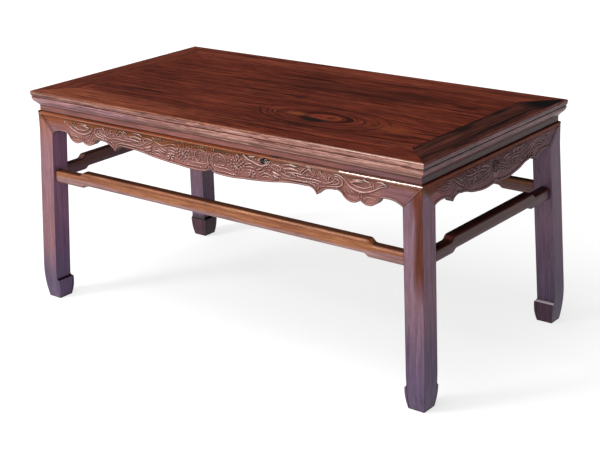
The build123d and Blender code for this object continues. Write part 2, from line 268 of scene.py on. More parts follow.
def spot(codes, center, radii, edge=0.55, wobble=0.35, amount=1.0):
    # an uneven oval patch; edge and wobble are shares of its size
    def paint(wood):
        tree = wood.tree
        far = vectorMath(tree, "LENGTH", wood.inOval(center, radii))
        ragged = mathNode(tree, "MULTIPLY_ADD", offMiddle(tree, wood.streaks), wobble * 2, far)
        wood.blend(easeBetween(tree, wood.wobbled(ragged, wobble), 1.0, edge, 0.0, amount), codes)
    return paint


def seam(codes, across, offset, halfWidth, *bands):
    # a fine line where across . (|x|, |y|, z) equals offset, as at a miter
    def paint(wood):
        tree = wood.tree
        mirrored = vectorMath(tree, "ABSOLUTE", wood.place)
        off = vectorMath(tree, "DOT_PRODUCT", mirrored, Vector(across).normalized())
        gap = mathNode(tree, "ABSOLUTE", mathNode(tree, "SUBTRACT", off, offset * mm / Vector(across).length))
        line = easeBetween(tree, gap, halfWidth * mm, halfWidth * 0.4 * mm)
        wood.blend(bandMask(wood, line, bands), codes)
    return paint


def eye(center, radii):
    # the grain parts round an oval knot and closes in rings inside it
    def bend(wood):
        tree = wood.tree
        place = wood.inOval(center, radii)
        square = vectorMath(tree, "DOT_PRODUCT", place, place)
        outside = mathNode(tree, "DIVIDE", 1.0, mathNode(tree, "MAXIMUM", square, 1.0))
        inside = mathNode(tree, "SUBTRACT", 1.0, mathNode(tree, "MINIMUM", square, 1.0))
        parting = mathNode(tree, "MULTIPLY", splitAxes(tree, place)["Y"], outside)
        pull = mathNode(tree, "MULTIPLY", parting, -radii[1] * mm)
        pull = mathNode(tree, "MULTIPLY_ADD", inside, radii[1] * 0.9 * mm, pull)
        wood.along = shiftedY(tree, wood.along, pull)
    return bend


def knotLine(center, radii, halfWidth, amount, *bands):
    # one dark growth line round an oval knot, shown where the bands hold
    def paint(wood):
        tree = wood.tree
        far = vectorMath(tree, "LENGTH", wood.inOval(center, radii))
        uneven = mathNode(tree, "MULTIPLY_ADD", offMiddle(tree, wood.blotches), 0.35, far)
        gap = mathNode(tree, "ABSOLUTE", mathNode(tree, "SUBTRACT", uneven, 1.0))
        width = halfWidth / radii[1]
        line = easeBetween(tree, gap, width, width * 0.2, 0.0, amount)
        wood.blend(bandMask(wood, line, bands), "#25100c")
    return paint


def dress(nodeName, material):
    for slot in nodes[nodeName].material_slots:
        slot.material = material


# sizes in mm that the woods and the carving follow
table = {
    "top": 394,
    "frontFace": 212,           # faces of aprons and legs
    "rightFace": 411,
    "frontLegSide": 376.5,      # inner sides of the legs, at the knee
    "rightLegSide": 177.5,
    "apronTop": 357,
    "knee": 318.5,              # where apron and leg part
    "frameMiter": 199,          # |x| less |y| along the miters of the frame
    "miterAcross": 34.5,        # the miters of the shoulders
    "miterUp": 33,
    "splay": 9 / 254.5,         # the legs go outwards this much as they go down
}
top = table["top"]

# the table's woods: hex colors are dark streak, ground and light streak
# upright faces of the frame edge in pale mauve: the wood's tone with painted sheen
sheenEdgeWood = ("#553029", "#94635a", "#bd9284")
stripWood = ("#43200c", "#743c1a", "#965a28")
railWood = ("#3e2013", "#8d5436", "#bb8154")
blackWood = "#120c0c"
# painted shade for the crevices between frame, waist and apron
creviceShade = "#2a1512"
miterLine = "#2b1614"

frameWood = {
    "front": ("#290f0a", "#5e261a", "#823f2a"),
    "back": ("#3a1812", "#6b3022", "#8a4731"),
    "right": ("#1c1110", "#44231c", "#5f3227"),
    "left": ("#3a1812", "#602a1d", "#7f402c"),
}
apronWood = {
    "carved": ("#67413c", "#97635c", "#b98a82"),
    "plain": ("#5a3a3a", "#80575a", "#987074"),     # beside the legs
    "pit": ("#452622", "#774b43", "#9a6961"),       # the sunk ground
    "leaf": ("#784d46", "#a8756e", "#cb9e96"),
    "litCrest": "#c39d94",
    "shadedFoot": "#3a1e19",
    "strip": stripWood,
    "litCrestAmount": 0.4,
    "pitAmount": 0.75,
}
# the right end's leaves are paler and its sunk ground darker than the front's: painted light and shade, for the
# relief's contrast
rightApronWood = {
    "carved": ("#64393e", "#9c6a70", "#be9096"),
    "plain": ("#5c3a42", "#86606c", "#9e7884"),
    "pit": ("#281518", "#6b4449", "#9c7074"),
    "leaf": ("#8a5b60", "#c9999f", "#e6c2c8"),
    "litCrest": "#f2d2d8",
    "shadedFoot": "#2a1617",
    "strip": ("#4a1e12", "#843a24", "#a25230"),
    "litCrestAmount": 0.75,
    "pitAmount": 0.9,
}

grainOf = {"front": "x", "back": "x", "right": "y", "left": "y"}
pieceShift = {"front": (0.0, 0.0, 0.0), "back": (1.7, 0.31, 0.2), "right": (3.1, 0.17, 0.4), "left": (4.9, 0.43, 0.6)}
upright = ("nz", 0.92, 0.55)
onNose = ("nz", 0.985, 0.93)    # the round of the edge and not the flat top
ledge = ("nz", 0.85, 0.97)
towardFront = ("ny", -0.5, -0.9)
fineGrain = {"fiberWidth": 1.7 * mm, "fiberLength": 42 * mm, "fibers": 1.4, "streaks": 1.0,
             "poreWidth": mm, "poreLength": 27.5 * mm, "pores": 0.32, "lines": 0.42, "wave": 16 * mm}


def underTop(low, high):
    return ("Z", top - low, top - high)


def shoulderMiter(axis, half):
    # the line that slopes from the knee to the corner, between apron and leg
    up, across = table["miterUp"], table["miterAcross"]
    direction = (up, 0, -across) if axis == "X" else (0, up, -across)
    return seam(miterLine, direction, up * half - across * table["knee"], 0.6)


# the front edge is palest on its right half, from painted sheen and highlight, and the top's back right corner is worn
# black
frameFeatures = {
    "front": [
        stain(("#4c2015", "#7c3f2b", "#9a5638"), ("X", 120, -380), wobble=120),
        # upright faces in pale mauve tones, paler towards the right and on the lower band: painted sheen and painted
        # light
        stain(sheenEdgeWood, upright),
        stain(("#6e433a", "#b88378", "#deb5a6"), upright, ("X", -300, 80)),
        stain(("#6e4b4e", "#ad7b7e", "#cb9ea2"), upright, ("X", -120, -200), underTop(9.6, 12)),
        stain(("#8a5a4e", "#c99486", "#e2b9ab"), upright, ("X", -60, 40), underTop(14.5, 17)),
        stain("#6a2e1a", underTop(11.6, 11), underTop(9.2, 9.8), ("X", 260, 120), amount=0.85),     # quirk
        stain(("#5e3a30", "#8c6258", "#b08878"), onNose, underTop(4.4, 3), ("X", 100, 200), amount=0.8),
        # an orange line along the nose on the left: painted highlight
        stain(("#4a2412", "#7a4229", "#9a6040"), onNose, underTop(4.2, 2.6), ("X", 180, 90), amount=0.9),
        # pale dashes along the nose to the right: painted highlight
        stain("#d9b7a4", onNose, underTop(2, 1.5), underTop(0.7, 1.2), ("X", 200, 300), wobble=2, amount=0.8)],
    "back": [stain(sheenEdgeWood, upright)],
    "right": [
        spot(blackWood, (400, 200, top), (50, 75, 50), wobble=0.3),
        spot(blackWood, (400.5, 60, top), (4.5, 130, 50), wobble=0.5, edge=0.3),
        spot(blackWood, (372, -30, top), (12, 40, 50), wobble=0.8, edge=0.2, amount=0.8),
        spot(blackWood, (363, 85, top), (9, 26, 50), wobble=0.8, edge=0.2, amount=0.8),
        spot(blackWood, (412, -110, top), (5, 45, 50), wobble=0.8, edge=0.2, amount=0.7),
        # the end's upright faces in pale mauve: painted sheen over the wood's tone
        stain(("#462529", "#945c62", "#b88890"), upright),
        stain(("#5a3028", "#8a5048", "#a8706a"), onNose, underTop(4.4, 3), amount=0.8),
        # a dark band low on the end's edge, over the waist: painted shade
        stain("#34171a", underTop(24.2, 25.6), amount=0.8)],
    "left": [stain(sheenEdgeWood, upright)],
}
# darker bands low on the frame's edge, over the waist: painted shade
shadeUnderFrame = [
    stain("#5a3a38", underTop(21, 22.2), underTop(24.2, 23), amount=0.65),
    stain(creviceShade, underTop(25.6, 27.2), amount=0.85),
]


def dressFrame(side):
    dress(f"frame_{side}", makeRosewood(
        f"oiled_rosewood_frame_{side}", grainOf[side], pieceShift[side], frameWood[side],
        [*frameFeatures[side], seam("#26120e", (1, -1, 0), table["frameMiter"], 0.5), *shadeUnderFrame], **fineGrain))


waistWood = ("#5c362f", "#925a53", "#ac7469")
rightWaistWood = ("#371a1f", "#562a31", "#74444c")
waistShades = {
    "front": [stain(("#4a2d30", "#72494a", "#8c6463"), ("X", 230, 310), wobble=20)],
}


def dressWaist(side):
    dress(f"waist_{side}", makeRosewood(
        f"waxed_rosewood_waist_{side}", grainOf[side], pieceShift[side],
        rightWaistWood if side == "right" else waistWood,
        [*waistShades.get(side, []),
         # darker at the waist's top and bottom edges: painted shade where it meets frame and apron
         stain(creviceShade, ("Z", 364, 365.8), amount=0.6),
         stain(creviceShade, ("Z", 358.4, 357.4), amount=0.8)]))


# the knot with its chipped black heart, and a dark split over it
apronMarks = {
    "front": [
        spot("#c3a79c", (114, -212, 346), (11, 20, 9), wobble=0.6, edge=0.8, amount=0.6),
        spot("#0e0d14", (111, -212, 344), (6.5, 20, 5.5), wobble=0.6, edge=0.8),
        spot("#0e0d14", (117, -212, 350), (8.5, 20, 3.5), wobble=0.6, edge=0.8),
        spot("#1a1110", (136, -212, 357), (16, 20, 1.6), wobble=0.5, edge=0.7),
        stain(("#5b2c14", "#8c4c2c", "#a86a44"), ("X", -280, -360), ("Z", 325, 345), wobble=14, amount=0.75)],
}
apronWashes = {
    "front": [
        stain(("#5a2c16", "#8f5233", "#b07048"), ("X", 40, -140), ("Z", 334, 348), wobble=30, amount=0.8),
        stain(("#6a4230", "#9c6a50", "#c08e72"), ("X", -60, 60), ("X", 350, 270), ("Z", 336, 350),
              wobble=24, amount=0.65)],
    "right": [stain(("#7c4850", "#c07a7e", "#d69498"), ("Y", -120, -160), ("Z", 344, 334), wobble=14)],
}
wornFlats = ("nz", 0.5, 0.7)
stripShades = {
    "front": [
        stain(("#4e2c22", "#86584a", "#a87a6a"), ("X", 110, 190), ("Z", 345, 350), wobble=20),
        # the worn flats face the lamps and are painted darker: painted shade
        stain(("#3d1706", "#6b2b0e", "#8a4116"), wornFlats, ("Z", 346, 349)),
        stain(("#3a1c12", "#613527", "#84503c"), wornFlats, ("Z", 346, 349), ("X", 90, 170)),
        # the ledge under the waist painted dark: painted shade
        stain("#462114", ledge, ("Z", 355, 356.5), amount=0.9)],
    # the ledge under the waist painted dark: painted shade
    "right": [stain("#4a231e", ledge, ("Z", 355, 356.5), amount=0.8)],
}
dullApron = {"gloss": 0.06, "coat": 0.0}        # the wax on the right end is worn dull
waxedApron = {"gloss": 0.10, "coat": 0.02}
waxedLeaves = {"gloss": 0.35, "coat": 0.3}


def dressApron(side):
    # the apron's own wood, and a wood for the leaves that stand on it
    isRight = side == "right"
    axis, half = ("X", table["frontLegSide"]) if grainOf[side] == "x" else ("Y", table["rightLegSide"])
    palette = rightApronWood if isRight else apronWood
    plainEnds = stain(palette["plain"], ("abs" + axis, half - 55, half - 25), ("Z", 352, 344), wobble=15)
    pits = stain(palette["pit"], ("abs" + axis, half - 40, half - 75), ("Z", 314, 324), ("Z", 351, 347),
                 wobble=16, amount=palette["pitAmount"])
    lowStrip = ("Y", 70, 0) if isRight else ("X", 120, 20)
    shared = [
        stain(palette["strip"], ("Z", 346, 351), wobble=20),
        stain(palette["strip"], ("Z", 340, 346), lowStrip, wobble=26),
        *stripShades.get(side, [])]
    # upward faces painted lighter and downward faces darker: painted light and shade
    litAndShaded = [
        stain(palette["litCrest"], ("nz", 0.2, 0.7), underTop(40, 42), amount=palette["litCrestAmount"]),
        stain(palette["shadedFoot"], ("nz", -0.12, -0.6), amount=0.85)]
    washes, marks = apronWashes.get(side, []), apronMarks.get(side, [])
    dress(f"apron_{side}", makeRosewood(
        f"waxed_rosewood_apron_{side}", grainOf[side], pieceShift[side], palette["carved"],
        [plainEnds, *washes, pits, *shared, shoulderMiter(axis, half), *litAndShaded, *marks],
        roughness=0.30, dirtReach=2.6 * mm, dirtFrom=0.95, dirtTo=0.5, **(dullApron if isRight else waxedApron)))
    makeRosewood(
        f"waxed_rosewood_leaves_{side}", grainOf[side], pieceShift[side], palette["leaf"],
        [*washes, *shared, *litAndShaded, *marks],
        roughness=0.22, dirtReach=1.8 * mm, dirtFrom=0.9, dirtTo=0.4, **(dullApron if isRight else waxedLeaves))


stretcherWood = {"x": ("#583a38", "#936c68", "#b8928e"), "y": ("#3d2630", "#6e4856", "#8e6a76")}
humpWood = {"x": railWood, "y": ("#331614", "#5c2a24", "#7c3c34")}


def dressStretcher(side):
    grain = grainOf[side]
    dress(f"stretcher_{side}", makeRosewood(
        f"waxed_rosewood_stretcher_{side}", grain, pieceShift[side], stretcherWood[grain],
        # an orange-brown upper band, and the top faces painted dark: painted shade
        [stain(humpWood[grain], ("Z", 236, 241), wobble=10), stain("#2a1511", ("nz", 0.75, 0.97), amount=0.85)]))


for side in grainOf:
    dressFrame(side)
    dressWaist(side)
    dressApron(side)
    dressStretcher(side)

# the panel: cloudy dark zones, and growth rings round a knot
darkZone = ("#1d0d0a", "#3c1a13", "#55291d")
rotWood = "#1d1512"
panelEye = (140, -89, top)
panelFeatures = [
    spot(darkZone, (60, 80, top), (230, 60, 100), edge=0.1, amount=0.6),
    spot(darkZone, (215, 100, top), (90, 45, 100), edge=0.1, amount=0.6),
    spot(darkZone, (-290, -120, top), (140, 30, 100), edge=0.1, amount=0.5),
    spot("#7d3f24", (275, -92, top), (60, 22, 100), edge=0.1, amount=0.6),
    spot("#824528", (88, -93, top), (26, 13, 100), edge=0.2, amount=0.7),
    spot(rotWood, (138, -112, top), (32, 15, 100), edge=0.45),
    spot(rotWood, (20, -4, top), (40, 6, 100), edge=0.1, wobble=0.8, amount=0.7),
    spot(rotWood, (300, 55, top), (20, 6, 100), edge=0.1, wobble=0.8, amount=0.6),
    *(knotLine(panelEye, (97 * size, 41 * size), 1.1, 0.8, ("Y", -75, -95)) for size in (0.90, 1.0, 1.12, 1.27)),
    *(knotLine(panelEye, (97 * size, 41 * size), 0.9, 0.7, ("Y", -85, -70), ("X", 70, 130))
      for size in (0.72, 0.92, 1.14, 1.36)),
]
dress("top_panel", makeRosewood("oiled_rosewood_panel", "x", (7.3, 0.0, 0.1), frameWood["front"], panelFeatures,
                                figure=eye(panelEye, (97, 40)), **fineGrain))
for side in ("left", "right"):
    dress(f"batten_{side}", makeRosewood(f"bare_rosewood_batten_{side}", "y", (2.2, 0.9, 0.3), railWood, coat=0.0))

# each leg has its own tone on the faces to the front and back, and another on its ends
legWood = {
    "front_right": ("#5a3f49", "#7a5b67", "#937480"),
    "front_left": ("#674549", "#8b636a", "#a1787f"),
    "back_right": ("#6b5266", "#92728a", "#a98aa0"),
    "back_left": ("#4c363e", "#6e505b", "#85666f"),
}
legEndWood = {
    "front_right": ("#6f4f60", "#9e6f87", "#b58aa0"),
    "front_left": ("#6f4a66", "#9b6a8e", "#b283a5"),
    "back_right": ("#5c4258", "#8b6484", "#a37e9a"),
    "back_left": ("#5c4450", "#8a6472", "#a37e8c"),
}
# bluish purple towards the feet: painted reflection of the floor
footReflectionWood = ("#433649", "#604e68", "#7a6580")
footReflectionEnd = ("#503e5a", "#70567f", "#8a7096")
hoofWood = ("#2a1418", "#4a2730", "#66404a")
brownWood = ("#33140c", "#5e2a18", "#7c4026")
legShift = {"front_right": (0.0, 0.0, 0.0), "front_left": (1.3, 0.2, 0.5), "back_right": (2.6, 0.4, 0.9),
            "back_left": (3.9, 0.6, 1.3)}
footStart = {"front_left": 120}     # 190 for the others

hoofTop = [("Z", 31, 34), ("Z", 60, 50)]
ledgeDark = stain("#1c1016", ("nz", 0.2, 0.6), *hoofTop)
brownTop = stain(stripWood, ("Z", 336, 350), wobble=20, amount=0.85)
legMarks = {
    "front_right": [stain(brownWood, towardFront, ("absX", 396, 403), ("Z", 160, 230), wobble=10),
                    stain(brownWood, towardFront, ("absX", 386, 398), ("Z", 285, 335), wobble=10),
                    brownTop, ledgeDark],
    "front_left": [stain(("#6b3520", "#a05e40", "#b87a58"), ("Z", 285, 350), towardFront, wobble=30, amount=0.8),
                   brownTop, ledgeDark],
    "back_right": [stain(hoofWood, ("Z", 47, 38), ("ny", -0.3, -0.8), amount=0.7),
                   # a pale line on the hoof's top ledge: painted highlight
                   stain("#d8c8d2", ("nz", 0.35, 0.75), *hoofTop)],
    "back_left": [stain(hoofWood, ("Z", 47, 38), amount=0.9), ledgeDark],
}


def legEdge(direction, half, halfWidth, facing):
    # a dark line along the inner edge of a leg, which slants with it
    splay = table["splay"]
    return seam("#22131a", (*direction, splay), half + splay * table["knee"], halfWidth, facing)


for corner, shift in legShift.items():
    dress(f"leg_{corner}", makeRosewood(f"waxed_rosewood_leg_{corner}", "z", shift, legWood[corner], [
        stain(legEndWood[corner], ("nx", 0.6, 0.9)),
        # bluish purple towards the feet: painted reflection of the floor
        stain(footReflectionWood, ("Z", footStart.get(corner, 190), 30), wobble=60),
        stain(footReflectionEnd, ("nx", 0.6, 0.9), ("Z", 190, 30), wobble=60),
        *legMarks[corner],
        legEdge((1, 0), table["frontLegSide"], 0.9, towardFront),
        legEdge((0, 1), table["rightLegSide"], 1.1, ("nx", 0.5, 0.9)),
        shoulderMiter("X", table["frontLegSide"]),
        shoulderMiter("Y", table["rightLegSide"])]))

# painted glints on crests of the carving, and a lip rubbed as bright as polish
makeRosewood("painted_glint_crests", "x", (0.0, 0.0, 0.0), ("#a88b80", "#c9b0a5", "#dfcbc0"),
             gloss=0.4, roughness=0.2, dirtReach=0.8 * mm)
makeRosewood("polished_rosewood_lip", "x", (0.0, 0.0, 0.0), ("#8a6450", "#b98f7a", "#dcc0ae"),
             gloss=0.5, roughness=0.12, coat=0.25, coatRoughness=0.05, bump=0.0)
print("woods made")

# the carved aprons: the ground is cut back inside a raised bead, and the leaves stand on it
apron = {
    "top": table["apronTop"] * mm,
    "face": {"front": table["frontFace"] * mm, "back": table["frontFace"] * mm,
             "right": table["rightFace"] * mm, "left": table["rightFace"] * mm},
    "stripDepth": 4 * mm,       # plain strip along the top
    # the bead along the scallops, as insets: (inwards, up)
    "bead": [(1.1 * mm, 0.5 * mm), (0.5 * mm, 0.1 * mm), (0.7 * mm, -0.45 * mm), (0.4 * mm, -1.75 * mm)],
    "beadFade": 3 * mm,         # it is flush with the face from here under the strip
    "groundDepth": 1.6 * mm,
    "reliefHeight": 2.2 * mm,
    "relief": 1.5,              # how much higher than round the leaves stand
    "strokeDrop": 2.0,          # mm that all the carving is set down
    "sharp": math.radians(18),  # edges that turn more than this stay crisp
}
outward = {
    "front": Vector((0, -1, 0)),
    "back": Vector((0, 1, 0)),
    "right": Vector((1, 0, 0)),
    "left": Vector((-1, 0, 0)),
}


def pickOnly(thing):
    bpy.ops.object.select_all(action="DESELECT")
    thing.select_set(True)
    bpy.context.view_layer.objects.active = thing


def selectFaces(thing, wanted):
    # leaves the thing in edit mode
    bpy.ops.object.mode_set(mode="OBJECT")
    mesh = thing.data
    for part in (*mesh.edges, *mesh.vertices):
        part.select = False
    for face in mesh.polygons:
        face.select = wanted(face)
        if face.select:
            for index in face.vertices:
                mesh.vertices[index].select = True
    bpy.ops.object.mode_set(mode="EDIT")
    bpy.ops.mesh.select_mode(type="FACE")


def copyNode(nodeName, pieceName):
    piece = bpy.data.objects.new(pieceName, nodes[nodeName].data.copy())
    bpy.context.collection.objects.link(piece)
    pickOnly(piece)
    bpy.ops.object.mode_set(mode="EDIT")
    bpy.ops.mesh.select_all(action="SELECT")
    bpy.ops.mesh.remove_doubles(threshold=0.01 * mm)
    bpy.ops.object.mode_set(mode="OBJECT")
    return piece


wear = {
    "middle": 330 * mm,         # along the front lip, where its worn flat is as given here
    "depth": 3.0 * mm,          # from the top to the lower edge of the flat
    "rise": 1.1 * mm,           # from there to its upper edge
    "skew": -0.002,             # it climbs to the right
    "start": 262 * mm,          # polished from here on, and its end runs out in a point
    "startLean": (1, 0, 16),
    "flat": (0.0, -0.8885, 0.4588),     # which way each looks
    "over": (0.0, -0.66, 0.751),
    "exact": 0.001 * mm,        # so that the flat stays flat
}


def wearLip():
    # the lip is worn to a flat that catches the light, with another over it that lies back more
    lowEdge = apron["top"] - wear["depth"]
    low = Vector((wear["middle"], -apron["face"]["front"], lowEdge))
    flat, over = Vector(wear["flat"]), Vector(wear["over"])
    high = low + Vector((0, -flat.z / flat.y, 1)) * wear["rise"]
    for place, across in ((low, flat), (high, over)):
        lean = Vector((wear["skew"] * across.z / flat.z, 0, 0))
        bpy.ops.mesh.select_all(action="SELECT")
        bpy.ops.mesh.bisect(plane_co=place, plane_no=across + lean, use_fill=True, clear_outer=True,
                            threshold=wear["exact"])
    bpy.ops.mesh.select_all(action="SELECT")
    bpy.ops.mesh.bisect(plane_co=(wear["start"], 0, lowEdge), plane_no=wear["startLean"], threshold=wear["exact"])


def cutGround(side):
    # the face of the apron, merged, split under its plain strip, beaded and sunk
    out = outward[side]
    face = apron["face"][side]
    piece = copyNode(f"apron_{side}", f"carved_apron_{side}")

    def onFace(polygon):
        return polygon.normal.dot(out) > 0.999 and abs(polygon.center.dot(out) - face) < 0.1 * mm

    selectFaces(piece, onFace)
    bpy.ops.mesh.dissolve_faces()
    stripBottom = apron["top"] - apron["stripDepth"]
    bpy.ops.mesh.bisect(plane_co=(0, 0, stripBottom), plane_no=(0, 0, 1))
    selectFaces(piece, lambda polygon: onFace(polygon) and polygon.center.z < stripBottom)
    for thickness, rise in apron["bead"]:
        bpy.ops.mesh.inset(thickness=thickness, depth=rise)
    bpy.ops.object.mode_set(mode="OBJECT")
    # the bead dies away under the strip
    for vertex in piece.data.vertices:
        if vertex.co.dot(out) > face and vertex.co.z > stripBottom - apron["beadFade"]:
            vertex.co -= out * (vertex.co.dot(out) - face)
    if side == "front":
        bpy.ops.object.mode_set(mode="EDIT")
        wearLip()
        bpy.ops.object.mode_set(mode="OBJECT")
    bpy.ops.mesh.customdata_custom_splitnormals_clear()
    bpy.ops.object.shade_smooth_by_angle(angle=apron["sharp"])
    return piece


def polishFlat(piece):
    # the part of the flat that is rubbed bright
    flat = (Vector(wear["flat"]) + Vector((wear["skew"], 0, 0))).normalized()
    piece.data.materials.append(bpy.data.materials["polished_rosewood_lip"])
    for polygon in piece.data.polygons:
        if polygon.normal.dot(flat) > 0.9999 and polygon.center.x > wear["start"]:
            polygon.material_index = 1


def drawStrokes(name, strokes, side, sides=2, lift=0.0):
    # each stroke is a list of (along, down, half width) in mm, drawn as a tapered round,
    # then pressed down to the height of the relief
    out = outward[side]
    along = Vector((0, 0, 1)).cross(out)
    ground = out * (apron["face"][side] - apron["groundDepth"] + lift)
    curve = bpy.data.curves.new(name, "CURVE")
    curve.dimensions = "3D"
    curve.bevel_depth = mm
    curve.bevel_resolution = sides
    curve.use_fill_caps = True
    for stroke in strokes:
        spline = curve.splines.new("NURBS")
        spline.points.add(len(stroke) - 1)
        for point, (u, down, half) in zip(spline.points, stroke):
            place = ground + along * u * mm
            point.co = (place.x, place.y, apron["top"] - (down + apron["strokeDrop"]) * mm, 1)
            point.radius = half
        spline.order_u = 3
        spline.resolution_u = 2 if len(stroke) < 4 else 3
        spline.use_endpoint_u = True
    piece = bpy.data.objects.new(name, curve)
    bpy.context.collection.objects.link(piece)
    pickOnly(piece)
    bpy.ops.object.convert(target="MESH")
    piece = bpy.context.object
    base = ground.dot(out)
    limit = apron["reliefHeight"]
    for vertex in piece.data.vertices:
        height = vertex.co.dot(out) - base
        pressed = math.copysign(limit * (1 - math.exp(-abs(height) * apron["relief"] / limit)), height)
        vertex.co += out * (pressed - height)
    bpy.ops.object.shade_smooth()
    return piece


def mirrored(strokes):
    return strokes + [[(-u, down, half) for u, down, half in stroke] for stroke in strokes]


lobe = {
    "wideAt": 0.35,             # of its length
    "narrowAt": 0.75,
    "narrow": 0.75,             # of its width
    "straighten": 0.7,
    "tip": 0.25,                # mm
}


def comma(base, tip, swing, half, tail=0.5):
    # a leaf lobe: swells from its base and runs out in a point, bowed out sideways by swing
    du, dd = tip[0] - base[0], tip[1] - base[1]
    length = math.hypot(du, dd)
    nu, nd = -dd / length * swing, du / length * swing
    wide, narrow, back = lobe["wideAt"], lobe["narrowAt"], lobe["straighten"]
    return [(*base, half * tail),
            (base[0] + du * wide + nu, base[1] + dd * wide + nd, half),
            (base[0] + du * narrow + nu * back, base[1] + dd * narrow + nd * back, half * lobe["narrow"]),
            (*tip, lobe["tip"])]


def curl(center, radius, turns, start, half):
    # a volute: from its outer end in to a knob, where it is a fifth as far out and twice as wide
    count = max(6, int(turns * 9))
    points = []
    for i in range(count + 1):
        t = i / count
        angle = math.radians(start) + t * turns * 2 * math.pi
        reach = radius * (1 - 0.8 * t)
        points.append((center[0] + reach * math.cos(angle), center[1] + reach * math.sin(angle),
                       half * (0.6 + 0.6 * t)))
    return points


def fan(center, first, last, count, inner, outer, half, swing=0.0):
    # petals spread round a center; angles in degrees, clockwise from the right
    strokes = []
    for i in range(count):
        angle = math.radians(first + (last - first) * i / (count - 1))
        strokes.append(comma(
            (center[0] + inner * math.cos(angle), center[1] + inner * math.sin(angle)),
            (center[0] + outer * math.cos(angle), center[1] + outer * math.sin(angle)), swing, half, 0.7))
    return strokes


def flutes(start, end, count, drop, half, swing=0.6):
    # a row of short ridges set side by side between two points, each `drop` long
    strokes = []
    for i in range(count):
        u, d = (a + (b - a) * i / (count - 1) for a, b in zip(start, end))
        strokes.append(comma((u, d), (u + drop[0], d + drop[1]), swing, half))
    return strokes


def blossom(center, rings, petal, half, lowest):
    # rings of short petals round a heart; a ring is (radius, count)
    strokes = []
    for order, (radius, count) in enumerate(rings):
        for i in range(count):
            angle = 2 * math.pi * (i + 0.5 * order) / count
            du, dd = math.cos(angle), math.sin(angle)
            if center[1] + (radius + petal) * dd < lowest:
                tip = (center[0] + (radius + petal) * du, center[1] + (radius + petal) * dd)
                strokes.append(comma((center[0] + radius * du, center[1] + radius * dd), tip, 0.5, half, 0.7))
    return strokes


budShape = {
    "seed": 7,
    "stray": 0.6,               # mm off the grid
    "turn": 0.9,                # radians
    "reach": 2.3,               # mm from the middle to each tip
    "half": 1.6,
    "tip": 0.4,
    "stretch": 1.25,            # the grid is wider along the apron
    "sample": 1.5,              # mm between the points of a leaf that buds keep clear of
}


def buds(strokes, span, floorLine, pitch, clear):
    # small buds wherever the ground between the leaves is open; a span is (from, to, top, bottom)
    chance = random.Random(budShape["seed"])
    taken = []
    for stroke in strokes:
        for (u0, d0, _), (u1, d1, _) in zip(stroke, stroke[1:]):
            steps = max(1, int(math.hypot(u1 - u0, d1 - d0) / budShape["sample"]))
            taken += [(u0 + (u1 - u0) * i / steps, d0 + (d1 - d0) * i / steps) for i in range(steps + 1)]
    found = []
    stray, turn, reach, tip = (budShape[key] for key in ("stray", "turn", "reach", "tip"))
    u = span[0]
    while u < span[1]:
        d = span[2]
        while d < min(span[3], floorLine(u)):
            place = (u + chance.uniform(-stray, stray), d + chance.uniform(-stray, stray))
            angle = chance.uniform(-turn, turn)
            if min(math.hypot(place[0] - a, place[1] - b) for a, b in taken) > clear:
                du, dd = reach * math.cos(angle), reach * math.sin(angle)
                found.append([(place[0] - du, place[1] - dd, tip), (*place, budShape["half"]),
                              (place[0] + du, place[1] + dd, tip)])
            d += pitch
        u += pitch * budShape["stretch"]
    return found


